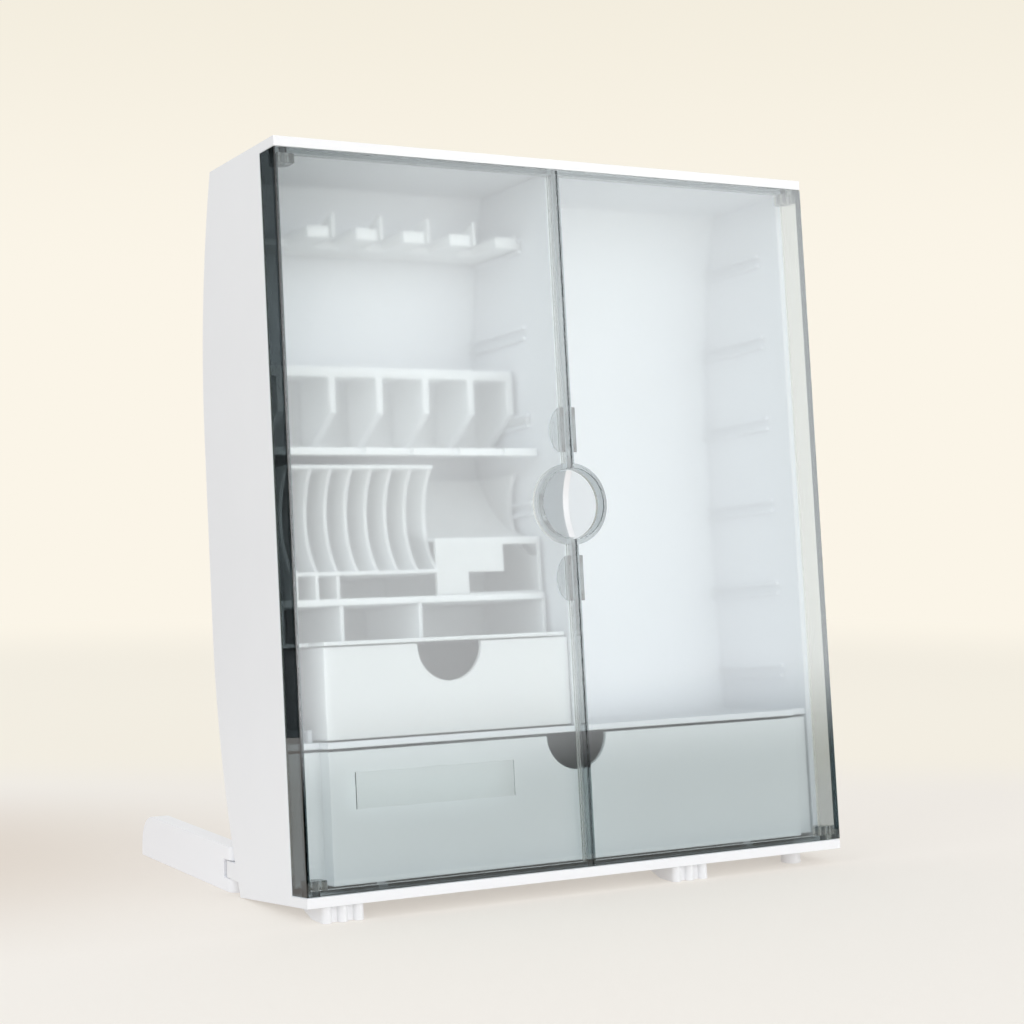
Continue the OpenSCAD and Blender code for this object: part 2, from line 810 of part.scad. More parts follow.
module tool_scoop() {
    cell_x1 = bay_x1 - plate_t;
    color("white") stand() {
        difference() {
            union() {
                along_x(scoop_x0, bay_x1) chute_outline();
                slab(scoop_x0, bay_x1, chute_y, chute_y + plate_t, deck_top, chute_z);
            }
            slab(scoop_x0 + cell_in, cell_x1, ledge_y, chute_y + plate_t + over,
                deck_top + over, deck_top + over + cell_low);
            slab(scoop_x0 + cell_step, cell_x1, ledge_y, chute_y + plate_t + over,
                deck_top + cell_low, deck_top + cell_high);
        }
        slab(scoop_x0, bay_x1, rack_back - plate_t, rack_back, deck_top, chute_top);
        difference() {
            slab(cell_x1, bay_x1, chute_y, rack_back, deck_top, chute_top);
            translate([cell_x1 - over, chute_y, chute_z + end_hollow_z])
                rotate([0, 90, 0]) cylinder(r = end_hollow_r, h = plate_t + 2 * over, $fn = 96);
        }
    }
}

// ---- Presser foot inserts ---------------------------------------------

module foot_divider(x) {
    along_x(x, x + divider_t) polygon([
        [low_front, low_z1],
        [low_back, low_z1],
        [low_back, low_floor(low_back) - root],
        [divider_foot, low_floor(divider_foot) - root],
        [low_front, low_z0 + divider_low]
    ]);
}

module low_base() {
    difference() {
        along_x(bay_x0, bay_x1) polygon([
            [ledge_y, low_z0],
            [ledge_y, low_z0 + ledge_h],
            [ledge_y + ledge_lip, low_z0 + ledge_h],
            [low_back, low_floor(low_back)],
            [low_back, low_floor(low_back) - floor_t],
            [ledge_y + ledge_lip, low_z0]
        ]);
        for (k = [1 : foot_count - 1])
            slab(bay_first + k * foot_pitch + ledge_notch_in,
                bay_first + k * foot_pitch + ledge_notch_in + ledge_notch_w,
                ledge_y - over, ledge_y + ledge_notch_d,
                low_z0 + ledge_notch_z, low_z0 + ledge_h + over);
    }
}

module lower_foot_insert() {
    color("white") stand() {
        low_base();
        slab(bay_x0, bay_x1, low_back - plate_t, low_back, low_floor(low_back) - root, low_z1);
        slab(bay_x0, bay_x1, low_front, low_back, low_z1 - plate_t, low_z1);
        slab(bay_x0, bay_x1, low_front, low_front + plate_t, low_z1 - band_h, low_z1);
        for (k = [0 : foot_count - 1]) foot_divider(bay_first + k * foot_pitch);
        foot_divider(bay_x1 - divider_t);
        slab(bay_x0, bay_x0 + plate_t, ledge_y + side_set, low_back, low_z0 + 2 * root, low_z1);
        tongues(low_back, 3);
    }
}

module foot_peg(x) {
    slab(x, x + peg_w, rail_front, peg_back - over, peg_z, peg_z + peg_h);
}

// Fin that keeps a presser foot from turning on its peg.
module foot_fin(x) {
    front = rail_front + root;
    along_x(x, x + plate_t) polygon([
        [front, peg_z + root],
        [front, peg_z + fin_h],
        [front + fin_run, peg_z + peg_h],
        [peg_back - over, peg_z + peg_h],
        [peg_back - over, peg_z + root]
    ]);
}

module upper_foot_insert() {
    color("white") stand() {
        slab(bay_x0, bay_x1, peg_plate_y, peg_back, peg_z, peg_z + tongue_t);
        slab(bay_x0, bay_x1, peg_back - plate_t, peg_back, peg_z, peg_z + peg_rim_h);
        for (x = [bay_x0, bay_x1 - plate_t])
            slab(x, x + plate_t, rail_front, peg_plate_y + over, peg_z, peg_z + peg_rim_h);
        for (k = [0 : foot_count - 1]) {
            peg_x = bay_x0 + peg_margin + k * peg_pitch;
            foot_peg(peg_x);
            if (k < foot_count - 1) foot_fin(peg_x + peg_w + fin_gap);
        }
        tongues(peg_back, 5);
    }
}

// ---- Rear legs --------------------------------------------------------

module leg_side() {
    translate([leg_y, 0]) square([leg_len - leg_tip_r, leg_h]);
    translate([leg_y, 0]) square([leg_len, leg_h - leg_tip_r]);
    intersection() {
        translate([leg_tip - leg_tip_r, leg_h - leg_tip_r]) circle(r = leg_tip_r);
        translate([leg_tip - leg_tip_r, 0]) square([leg_tip_r, leg_h]);
    }
}

// Open slot in the leg's root that straddles the lug of the case.
module leg_fork() {
    slab(-over, leg_t + over, leg_y - leg_t, leg_y + leg_t / 2 + 2 * fit,
        leg_lug_z - fit, leg_lug_z + leg_lug_h + fit);
}

module leg_pocket(y0, y1) {
    slab(leg_skin, leg_t + over, y0, y1, leg_skin, leg_h - leg_skin);
}

module leg() {
    rib_y = leg_y + leg_len / 2;
    difference() {
        union() {
            along_x(0, leg_t) leg_side();
            translate([leg_x, leg_y, 0]) cylinder(r = leg_t / 2, h = leg_h);
        }
        leg_fork();
        leg_pin_bore();
        leg_pocket(leg_y + leg_root, rib_y - leg_rib / 2);
        leg_pocket(rib_y + leg_rib / 2, leg_tip - leg_tip_solid);
    }
}

module leg_pin() {
    translate([leg_x, leg_y, root]) cylinder(r = pin_r, h = leg_h - root);
}

module left_leg() {
    color("white") on_floor() leg();
}

module left_leg_pin() {
    color("silver") on_floor() leg_pin();
}

module right_leg() {
    color("white") on_floor() right_hand() leg();
}

module right_leg_pin() {
    color("silver") on_floor() right_hand() leg_pin();
}

case_shell();
drawer_shelf();
centre_partition();
left_wall_rails();
partition_left_rails();
partition_right_rails();
right_wall_rails();
left_front_foot();
right_front_foot();
front_stub_foot();
left_door();
left_door_blocks();
left_door_catches();
left_door_plaque();
left_upper_hinge_pin();
left_lower_hinge_pin();
right_door();
right_door_blocks();
right_door_catches();
right_upper_hinge_pin();
right_lower_hinge_pin();
small_drawer();
large_drawer();
bobbin_rack();
notions_tray();
tool_scoop();
lower_foot_insert();
upper_foot_insert();
left_leg();
left_leg_pin();
right_leg();
right_leg_pin();
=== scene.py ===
"""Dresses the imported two-door bobbin box and sets it on a pale table.

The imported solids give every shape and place. Each is copied, given the soft
edges of a moulding and a finish, and stands for its solid. Places and lengths
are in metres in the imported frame, in which x is 0 between the two doors, -y is
the front and z is 0 on the table. Names that end in _mm are in millimetres,
and turns are in degrees.
"""

from __future__ import annotations

import json
import logging
import math
from dataclasses import dataclass, field
from enum import Enum
from typing import Any

import bmesh
import bpy
from mathutils import Matrix, Vector

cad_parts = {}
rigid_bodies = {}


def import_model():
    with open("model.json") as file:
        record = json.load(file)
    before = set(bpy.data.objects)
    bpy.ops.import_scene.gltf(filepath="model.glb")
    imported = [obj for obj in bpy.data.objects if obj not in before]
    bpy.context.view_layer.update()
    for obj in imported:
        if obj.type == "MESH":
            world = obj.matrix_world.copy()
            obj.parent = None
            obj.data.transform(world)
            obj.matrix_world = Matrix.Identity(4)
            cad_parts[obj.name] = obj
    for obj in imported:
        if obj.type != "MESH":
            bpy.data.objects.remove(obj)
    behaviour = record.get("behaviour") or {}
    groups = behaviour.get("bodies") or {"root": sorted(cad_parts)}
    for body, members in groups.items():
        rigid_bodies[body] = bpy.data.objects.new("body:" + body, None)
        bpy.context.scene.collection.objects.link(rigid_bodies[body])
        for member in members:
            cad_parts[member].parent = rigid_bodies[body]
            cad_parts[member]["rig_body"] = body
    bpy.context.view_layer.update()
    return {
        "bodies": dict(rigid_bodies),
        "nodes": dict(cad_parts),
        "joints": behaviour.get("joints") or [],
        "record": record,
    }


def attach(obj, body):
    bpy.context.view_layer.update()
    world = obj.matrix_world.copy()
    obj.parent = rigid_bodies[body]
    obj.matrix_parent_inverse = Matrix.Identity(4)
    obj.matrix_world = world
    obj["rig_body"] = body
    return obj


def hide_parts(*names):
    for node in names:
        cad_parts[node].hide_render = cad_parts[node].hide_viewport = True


LOG = logging.getLogger("bobbin_box")
MM = 0.001

Colour = tuple[float, float, float, float]
Span = tuple[float, float]
Place = tuple[float, float, float]

WHITE: Colour = (1.0, 1.0, 1.0, 1.0)

# Two faces that meet at less than FLAT_BEND are one plane, and at more than
# SHARP_BEND they meet in an edge. Between the two they belong to a curve, and a
# face is curved when it has this many such neighbours.
FLAT_BEND = math.radians(0.3)
SHARP_BEND = math.radians(28)
CURVED_NEIGHBOURS = 2
# Edges that bend more than BEVEL_BEND are softened, in this many steps.
BEVEL_BEND = math.radians(32)
BEVEL_STEPS = 2
# Points closer than MERGE_REACH are one point, and faces that bend less than
# MERGE_BEND become one face.
MERGE_REACH = 2e-6
MERGE_BEND = math.radians(0.6)

# The doors' front plane: which way it faces, and how far it is from the origin
DOOR_FACING: Place = (0.0, -0.99474, 0.1024)
DOOR_REACH = 0.089445
# Depths behind that plane: just past the back of the door plates, where their
# frosted back begins, and the skin that holds the painted shade line where the doors meet
PLATE_DEPTH = 0.0021
FROST_DEPTH = 0.7 * PLATE_DEPTH
SKIN_DEPTH = 0.0005
# How far the frosted back and the painted shade line reach to either side of x = 0
INSIDE_REACH = 0.1285
SEAM_REACH = 0.0007
# The outer side of the left flange, which is painted darker with shade, lies left of this x
LEFT_RIM = -0.1303

# Features per metre of the patterns in the finishes, and the noise's middle
CLOUD_SCALE, FLOW_SCALE, SPARK_SCALE = 38.0, 260.0, 5200.0
PATCH_SCALE, SMEAR_SCALE, RIPPLE_SCALE = 24.0, 420.0, 14.0
WEAVE_SCALE = 900.0
NOISE_MIDDLE = 0.5


def linear(red: int, green: int, blue: int) -> Colour:
    """Turns an 8-bit display colour into the linear colour that shaders take.

    Args:
        red: Red, 0 to 255.
        green: Green, 0 to 255.
        blue: Blue, 0 to 255.

    Returns:
        Linear red, green and blue, and an alpha of 1.
    """
    def one(value: int) -> float:
        """Undoes the display curve of one channel."""
        share = value / 255
        return share / 12.92 if share <= 0.04045 else ((share + 0.055) / 1.055) ** 2.4

    return one(red), one(green), one(blue), 1.0


# ---- Node helpers --------------------------------------------------------


class Graph:
    """Short ways to add nodes and links to one node tree."""

    def __init__(self, tree: bpy.types.NodeTree) -> None:
        """Keeps the tree and empties it."""
        self.tree = tree
        tree.nodes.clear()

    def add(self, kind: str, **settings: object) -> bpy.types.Node:
        """Adds a node.

        Args:
            kind: The node's type name.
            settings: Attributes of the node, or inputs by socket name with an
                underscore for each space.

        Returns:
            The new node.
        """
        node = self.tree.nodes.new(kind)
        for name, value in settings.items():
            if hasattr(node, name):
                setattr(node, name, value)
            else:
                node.inputs[name.replace("_", " ")].default_value = value
        return node

    def link(self, source: bpy.types.NodeSocket, target: bpy.types.NodeSocket) -> None:
        """Links an output to an input."""
        self.tree.links.new(source, target)

    def feed(self, source: object, target: bpy.types.NodeSocket) -> None:
        """Links an output to an input, or sets the input to a plain value.

        Args:
            source: An output socket, a number or a colour.
            target: The input.
        """
        if isinstance(source, bpy.types.NodeSocket):
            self.link(source, target)
        else:
            target.default_value = source

    def math(self, operation: str, first: object, second: object) -> bpy.types.NodeSocket:
        """Adds a Math node.

        Args:
            operation: The node's operation.
            first: A socket or a number.
            second: A socket or a number.

        Returns:
            The node's output.
        """
        node = self.add("ShaderNodeMath", operation=operation)
        self.feed(first, node.inputs[0])
        self.feed(second, node.inputs[1])
        return node.outputs[0]

    def along(self, spot: bpy.types.NodeSocket, way: Place) -> bpy.types.NodeSocket:
        """Measures how far a point lies along a direction.

        Args:
            spot: The point's socket.
            way: The direction, of length 1.

        Returns:
            The distance's socket.
        """
        node = self.add("ShaderNodeVectorMath", operation="DOT_PRODUCT")
        self.link(spot, node.inputs[0])
        node.inputs[1].default_value = way
        return node.outputs["Value"]

    def remap(self, value: bpy.types.NodeSocket, low: float, high: float,
              to_low: float, to_high: float) -> bpy.types.NodeSocket:
        """Maps a value smoothly from one range to another.

        Args:
            value: The value's socket.
            low: Start of the range that is read.
            high: End of the range that is read.
            to_low: Result at low.
            to_high: Result at high.

        Returns:
            The mapped value's socket.
        """
        node = self.add("ShaderNodeMapRange", interpolation_type="SMOOTHSTEP",
                        From_Min=low, From_Max=high, To_Min=to_low, To_Max=to_high)
        self.link(value, node.inputs["Value"])
        return node.outputs["Result"]

    def noise(self, scale: float, octaves: int) -> bpy.types.NodeSocket:
        """Noise on Object coordinates.

        Args:
            scale: Features per metre.
            octaves: How often finer noise is laid over it.

        Returns:
            The noise value's socket.
        """
        node = self.add("ShaderNodeTexNoise", Scale=scale, Detail=octaves)
        self.link(self.spot(), node.inputs["Vector"])
        return node.outputs["Fac"]

    def spot(self) -> bpy.types.NodeSocket:
        """Adds a point's Object coordinates."""
        return self.add("ShaderNodeTexCoord").outputs["Object"]

    def split(self, spot: bpy.types.NodeSocket) -> bpy.types.Node:
        """Parts a point or direction into its X, Y and Z outputs."""
        node = self.add("ShaderNodeSeparateXYZ")
        self.link(spot, node.inputs["Vector"])
        return node

    def tone(self, share: bpy.types.NodeSocket, first: object, second: object,
             blend_type: str = "MIX") -> bpy.types.NodeSocket:
        """Mixes two colours.

        Args:
            share: Share of the second colour.
            first: A socket or a colour.
            second: A socket or a colour.
            blend_type: How the second is laid over the first.

        Returns:
            The mixed colour's socket.
        """
        node = self.add("ShaderNodeMix", data_type="RGBA", blend_type=blend_type)
        for name, value in (("Factor", share), ("A", first), ("B", second)):
            self.feed(value, node.inputs[name])
        return node.outputs["Result"]

    def blend(self, share: object, first: bpy.types.NodeSocket,
              second: bpy.types.NodeSocket) -> bpy.types.NodeSocket:
        """Mixes two shaders.

        Args:
            share: Share of the second shader, a socket or a number.
            first: The first shader's socket.
            second: The second shader's socket.

        Returns:
            The mixed shader's socket.
        """
        node = self.add("ShaderNodeMixShader")
        for place, value in enumerate((share, first, second)):
            self.feed(value, node.inputs[place])
        return node.outputs["Shader"]

    def relief(self, height: bpy.types.NodeSocket, strength: float, depth_mm: float,
               shader: bpy.types.Node) -> None:
        """Lets a height tilt a shader's surface.

        Args:
            height: The height's socket.
            strength: Strength of the relief, up to 1.
            depth_mm: Depth that a height of 1 stands for.
            shader: The shader's node.
        """
        bump = self.add("ShaderNodeBump", Strength=strength, Distance=depth_mm * MM)
        self.link(height, bump.inputs["Height"])
        self.link(bump.outputs["Normal"], shader.inputs["Normal"])

    def show(self, surface: bpy.types.NodeSocket,
             kind: str = "ShaderNodeOutputMaterial") -> bpy.types.Node:
        """Adds the output node that shows a shader.

        Args:
            surface: The shader's socket.
            kind: The output node's type name.

        Returns:
            The output node.
        """
        node = self.add(kind)
        self.link(surface, node.inputs["Surface"])
        return node


def new_material(name: str) -> tuple[bpy.types.Material, Graph]:
    """Starts a material.

    Args:
        name: Name of the material.

    Returns:
        The material, and its empty graph.
    """
    made = bpy.data.materials.new(name)
    made.use_nodes = True
    return made, Graph(made.node_tree)


# ---- Shared effects ------------------------------------------------------


class Effect(Enum):
    """Shader groups that several finishes share."""

    MOULD_SKIN = "mould_skin"
    CLEAR_MARKS_AND_SHADE = "handled_clear"


Groups = dict[Effect, bpy.types.NodeTree]


def open_group(name: str, inputs: dict[str, tuple[str, object]],
               outputs: dict[str, str]) -> tuple[Graph, bpy.types.Node, bpy.types.Node]:
    """Starts a shader group.

    Args:
        name: Name of the group.
        inputs: Socket type and default by input name.
        outputs: Socket type by output name.

    Returns:
        The group's graph, its input node and its output node.
    """
    tree = bpy.data.node_groups.new(name, "ShaderNodeTree")
    for label, (kind, default) in inputs.items():
        socket = tree.interface.new_socket(label, in_out="INPUT", socket_type=kind)
        socket.default_value = default
    for label, kind in outputs.items():
        tree.interface.new_socket(label, in_out="OUTPUT", socket_type=kind)
    graph = Graph(tree)
    return graph, graph.add("NodeGroupInput"), graph.add("NodeGroupOutput")


def mould_skin() -> bpy.types.NodeTree:
    """Skin of moulded opaque plastic: fine spark grain, soft sink and flow marks.

    Returns:
        The group, which puts out a colour, a roughness and a height.
    """
    graph, given, result = open_group(
        Effect.MOULD_SKIN.value,
        {"Colour": ("NodeSocketColor", (0.8, 0.8, 0.8, 1.0)),
         "Roughness": ("NodeSocketFloat", 0.4),
         "Mottle": ("NodeSocketFloat", 0.02)},
        {"Colour": "NodeSocketColor", "Roughness": "NodeSocketFloat",
         "Height": "NodeSocketFloat"})
    flow_share, sink_share, spark_share = 0.08, 0.6, 0.05
    cloud = graph.noise(CLOUD_SCALE, octaves=3)
    flow = graph.noise(FLOW_SCALE, octaves=2)
    spark = graph.noise(SPARK_SCALE, octaves=1)
    drift = graph.math("SUBTRACT", cloud, NOISE_MIDDLE)
    swing = graph.math("MULTIPLY", drift, given.outputs["Mottle"])
    tinted = graph.add("ShaderNodeVectorMath", operation="SCALE")
    graph.link(given.outputs["Colour"], tinted.inputs[0])
    graph.link(graph.math("ADD", 1.0, swing), tinted.inputs["Scale"])
    graph.link(tinted.outputs[0], result.inputs["Colour"])
    sheen = graph.math("MULTIPLY", graph.math("SUBTRACT", flow, NOISE_MIDDLE), flow_share)
    rough = graph.math("ADD", given.outputs["Roughness"], sheen)
    graph.link(rough, result.inputs["Roughness"])
    sink = graph.math("MULTIPLY", cloud, sink_share)
    grain = graph.math("MULTIPLY", spark, spark_share)
    graph.link(graph.math("ADD", sink, grain), result.inputs["Height"])
    return graph.tree


def door_zones(graph: Graph) -> tuple[bpy.types.NodeSocket, ...]:
    """Finds the parts of the doors that look unlike the rest, by their place.

    Args:
        graph: The graph that needs them.

    Returns:
        Masks of the left flange's outer side and of the doors' edges, which take
        painted shade, and of their frosted back.
    """
    spot = graph.spot()
    sideways = graph.split(spot).outputs["X"]
    depth = graph.math("SUBTRACT", DOOR_REACH, graph.along(spot, DOOR_FACING))
    across = graph.math("ABSOLUTE", sideways, 0.0)
    # Where shade is painted: the left flange's outer side, and darker still its front rim and the
    # meeting line
    on_side = graph.math("LESS_THAN", sideways, LEFT_RIM)
    at_rim = graph.math("MULTIPLY", on_side, graph.math("LESS_THAN", depth, PLATE_DEPTH))
    at_seam = graph.math("MULTIPLY", graph.math("LESS_THAN", across, SEAM_REACH),
                         graph.math("LESS_THAN", depth, SKIN_DEPTH))
    on_edge = graph.math("MAXIMUM", at_rim, at_seam)
    inside = graph.math("MULTIPLY", graph.math("GREATER_THAN", depth, FROST_DEPTH),
                        graph.math("LESS_THAN", across, INSIDE_REACH))
    return on_side, on_edge, inside


def handled_clear() -> bpy.types.NodeTree:
    """Moulding and handling marks of the clear doors, with painted shade on their edges.

    The left flange's outer side and the doors' edges are darkened with painted
    shade, the back is frosted, and faint smudges and ripples lie over it all.

    Returns:
        The group, which puts out a colour, a roughness and a height.
    """
    graph, given, result = open_group(
        Effect.CLEAR_MARKS_AND_SHADE.value,
        {"Roughness": ("NodeSocketFloat", 0.02),
         "Smudge": ("NodeSocketFloat", 0.1),
         "Frost": ("NodeSocketFloat", 0.0),
         "Side Tint": ("NodeSocketColor", WHITE),
         "Edge Tint": ("NodeSocketColor", WHITE)},
        {"Colour": "NodeSocketColor", "Roughness": "NodeSocketFloat",
         "Height": "NodeSocketFloat"})
    on_side, on_edge, inside = door_zones(graph)
    # Painted shade: the left flange's outer side darkened, and the rim and meeting line darker
    # still
    tint = graph.tone(on_side, WHITE, given.outputs["Side Tint"])
    tint = graph.tone(on_edge, tint, given.outputs["Edge Tint"], "MULTIPLY")
    graph.link(tint, result.inputs["Colour"])
    patch_edge, smear_edge, least_smear = (0.56, 0.7), (0.35, 0.65), 0.2
    touched = graph.remap(graph.noise(PATCH_SCALE, octaves=2), *patch_edge, 0.0, 1.0)
    smeared = graph.remap(graph.noise(SMEAR_SCALE, octaves=3), *smear_edge, least_smear, 1.0)
    smudge = graph.math("MULTIPLY", graph.math("MULTIPLY", touched, smeared),
                        given.outputs["Smudge"])
    frost = graph.math("MULTIPLY", inside, given.outputs["Frost"])
    marked = graph.math("ADD", given.outputs["Roughness"], smudge)
    graph.link(graph.math("ADD", marked, frost), result.inputs["Roughness"])
    graph.link(graph.noise(RIPPLE_SCALE, octaves=1), result.inputs["Height"])
    return graph.tree


# ---- Finishes ------------------------------------------------------------


@dataclass(frozen=True)
class OpaquePlastic:
    """Moulded opaque plastic.

    Attributes:
        name: Name of the material.
        colour: Linear colour.
        roughness: Mean roughness.
        mottle: How far the tone drifts over the surface.
        milkiness: Share of the light that spreads inside thin walls.
        spread_mm: How far it spreads.
        ior: Index of refraction.
        grain: Strength of the moulded grain.
        grain_mm: Depth of that grain.
    """

    name: str
    colour: Colour
    roughness: float = 0.4
    mottle: float = 0.02
    milkiness: float = 0.0
    spread_mm: float = 4.0
    ior: float = 1.5
    grain: float = 0.25
    grain_mm: float = 0.2

    def material(self, groups: Groups) -> bpy.types.Material:
        """Builds the material.

        Args:
            groups: The shared shader groups.

        Returns:
            The finished material.
        """
        made, graph = new_material(self.name)
        skin = graph.add("ShaderNodeGroup", node_tree=groups[Effect.MOULD_SKIN],
                         Colour=self.colour, Roughness=self.roughness, Mottle=self.mottle)
        shader = graph.add("ShaderNodeBsdfPrincipled", IOR=self.ior,
                           Subsurface_Weight=self.milkiness,
                           Subsurface_Radius=(1.0, 1.0, 1.0),
                           Subsurface_Scale=self.spread_mm * MM)
        graph.link(skin.outputs["Colour"], shader.inputs["Base Color"])
        graph.link(skin.outputs["Roughness"], shader.inputs["Roughness"])
        graph.relief(skin.outputs["Height"], self.grain, self.grain_mm, shader)
        graph.show(shader.outputs["BSDF"])
        return made


@dataclass(frozen=True)
class SmokeClear:
    """Clear plastic with a smoke tint that deepens with its thickness.

    Attributes:
        name: Name of the material.
        tint: Linear colour that the body of the plastic lets through.
        density: How strongly the tint works, per metre.
        flange_shade: Painted shade that darkens the left flange's outer side.
        edge_shade: Further painted shade on the doors' outer rim and meeting edges.
        roughness: Roughness of a clean face.
        smudge: Added roughness where it was handled.
        frost: Added roughness of the doors' back.
        ior: Index of refraction.
        ripple: Strength of the slow ripples of the moulding.
        ripple_mm: Depth of those ripples.
        shadow_level: What a face makes of the light that goes straight through
            it into shadows. More than 1 makes up for some of the tint.
    """

    name: str
    tint: Colour
    density: float
    # Painted shade on the left flange's outer side, and on the doors' rim and meeting line
    flange_shade: Colour = (0.046, 0.057, 0.062, 1.0)
    edge_shade: Colour = (0.36, 0.38, 0.4, 1.0)
    roughness: float = 0.015
    smudge: float = 0.015
    frost: float = 0.13
    ior: float = 1.53
    ripple: float = 0.01
    ripple_mm: float = 0.1
    shadow_level: float = 1.22

    def material(self, groups: Groups) -> bpy.types.Material:
        """Builds the material.

        Args:
            groups: The shared shader groups.

        Returns:
            The finished material.
        """
        made, graph = new_material(self.name)
        marks = graph.add("ShaderNodeGroup", node_tree=groups[Effect.CLEAR_MARKS_AND_SHADE],
                          Roughness=self.roughness, Smudge=self.smudge, Frost=self.frost,
                          Side_Tint=self.flange_shade, Edge_Tint=self.edge_shade)
        shader = graph.add("ShaderNodeBsdfPrincipled", IOR=self.ior, Transmission_Weight=1.0)
        graph.link(marks.outputs["Colour"], shader.inputs["Base Color"])
        graph.link(marks.outputs["Roughness"], shader.inputs["Roughness"])
        graph.relief(marks.outputs["Height"], self.ripple, self.ripple_mm, shader)
        path = graph.add("ShaderNodeLightPath")
        straight = graph.math("MAXIMUM", path.outputs["Is Shadow Ray"],
                              path.outputs["Is Diffuse Ray"])
        level = self.shadow_level
        clear = graph.add("ShaderNodeBsdfTransparent", Color=(level, level, level, 1.0))
        face = graph.blend(straight, shader.outputs["BSDF"], clear.outputs["BSDF"])
        body = graph.add("ShaderNodeVolumeAbsorption", Color=self.tint, Density=self.density)
        output = graph.show(face)
        graph.link(body.outputs["Volume"], output.inputs["Volume"])
        return made


@dataclass(frozen=True)
class DrawnSteel:
    """Drawn steel wire, finely marked.

    Attributes:
        name: Name of the material.
        colour: Linear colour.
        roughness: Mean roughness.
        mottle: How far the tone drifts over the surface.
    """

    name: str
    colour: Colour
    roughness: float = 0.3
    mottle: float = 0.2

    def material(self, groups: Groups) -> bpy.types.Material:
        """Builds the material.

        Args:
            groups: The shared shader groups.

        Returns:
            The finished material.
        """
        made, graph = new_material(self.name)
        skin = graph.add("ShaderNodeGroup", node_tree=groups[Effect.MOULD_SKIN],
                         Colour=self.colour, Roughness=self.roughness, Mottle=self.mottle)
        shader = graph.add("ShaderNodeBsdfPrincipled", Metallic=1.0)
        graph.link(skin.outputs["Colour"], shader.inputs["Base Color"])
        graph.link(skin.outputs["Roughness"], shader.inputs["Roughness"])
        graph.show(shader.outputs["BSDF"])
        return made


class Look(Enum):
    """The finishes of the box."""

    CASE_WHITE = OpaquePlastic("case_white", linear(238, 239, 242), roughness=0.42, mottle=0.03)
    INSERT_WHITE = OpaquePlastic("insert_white", linear(249, 250, 251),
                                 milkiness=1.0, spread_mm=7.0)
    LEG_WHITE = OpaquePlastic("leg_white", linear(243, 244, 248), roughness=0.42)
    DRAWER_GREY = OpaquePlastic("drawer_grey", linear(232, 234, 235), roughness=0.36, mottle=0.04)
    SMOKE = SmokeClear("smoke_clear", linear(160, 174, 176), density=260.0)
    SMOKE_BLOCK = SmokeClear("smoke_block", linear(150, 160, 162), density=120.0)
    PIN_DARK = OpaquePlastic("pin_dark", linear(96, 100, 103), roughness=0.35, mottle=0.05)
    PIN_STEEL = DrawnSteel("pin_steel", linear(196, 196, 200))


# ---- Pieces --------------------------------------------------------------


@dataclass
class Workshop:
    """What every sub-assembly needs to dress its pieces.

    Attributes:
        groups: Shared shader groups.
        materials: Materials by look.
    """

    frame: dict[str, Any]
    groups: Groups = field(default_factory=dict)
    materials: dict[Look, bpy.types.Material] = field(default_factory=dict)

    def stock(self) -> None:
        """Builds the shader groups and the materials."""
        self.groups = {Effect.MOULD_SKIN: mould_skin(), Effect.CLEAR_MARKS_AND_SHADE: handled_clear()}
        self.materials = {look: look.value.material(self.groups) for look in Look}

    def body_of(self, node: str) -> str:
        """Name of the CAD body that holds a node."""
        return self.frame["nodes"][node]["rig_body"]

    def merged_mesh(self, node: str, gap_mm: float) -> bpy.types.Mesh:
        """Copies a node's solid as one merged mesh, with its curves smooth.

        Args:
            node: Name of the CAD node.
            gap_mm: How far the faces are drawn in, to part two clear pieces.

        Returns:
            The new mesh.
        """
        mesh = self.frame["nodes"][node].data.copy()
        mesh.name = f"{node}_moulded"
        mesh.materials.clear()
        work = bmesh.new()
        work.from_mesh(mesh)
        bmesh.ops.remove_doubles(work, verts=work.verts, dist=MERGE_REACH)
        bmesh.ops.dissolve_limit(work, angle_limit=MERGE_BEND,
                                 verts=work.verts, edges=work.edges)
        if gap_mm:
            work.normal_update()
            for vert in work.verts:
                vert.co -= vert.normal * vert.calc_shell_factor() * gap_mm * MM
        curved = [sum(FLAT_BEND < edge.calc_face_angle(0.0) < SHARP_BEND
                      for edge in face.edges) >= CURVED_NEIGHBOURS for face in work.faces]
        work.to_mesh(mesh)
        work.free()
        mesh.set_sharp_from_angle(angle=SHARP_BEND)
        mesh.polygons.foreach_set("use_smooth", curved)
        return mesh

    def moulded_copy(self, node: str, edge_mm: float, gap_mm: float = 0.0) -> bpy.types.Object:
        """Copies a node's solid as one merged piece with softened edges.

        Args:
            node: Name of the CAD node.
            edge_mm: Width of the soft edges.
            gap_mm: How far the faces are drawn in, to part two clear pieces.

        Returns:
            The new object, at the origin.
        """
        piece = bpy.data.objects.new(f"{node}_moulded", self.merged_mesh(node, gap_mm))
        bpy.context.scene.collection.objects.link(piece)
        soft = piece.modifiers.new("soft_edges", "BEVEL")
        soft.affect = "EDGES"
        soft.limit_method = "ANGLE"
        soft.angle_limit = BEVEL_BEND
        soft.width = edge_mm * MM
        soft.segments = BEVEL_STEPS
        soft.profile = 0.5
        soft.use_clamp_overlap = True
        return piece

    def settle(self, piece: bpy.types.Object, look: Look, slot: str, *nodes: str) -> None:
        """Finishes a piece that stands for CAD nodes of one body.

        Args:
            piece: The piece, in place.
            look: Its finish.
            slot: The record's material slot. Not used.
            nodes: The CAD nodes that it stands for.
        """
        piece.data.materials.append(self.materials[look])
        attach(piece, self.body_of(nodes[0]))
        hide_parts(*nodes)
        LOG.info("%s: %d faces, %s", piece.name, len(piece.data.polygons), look.name)


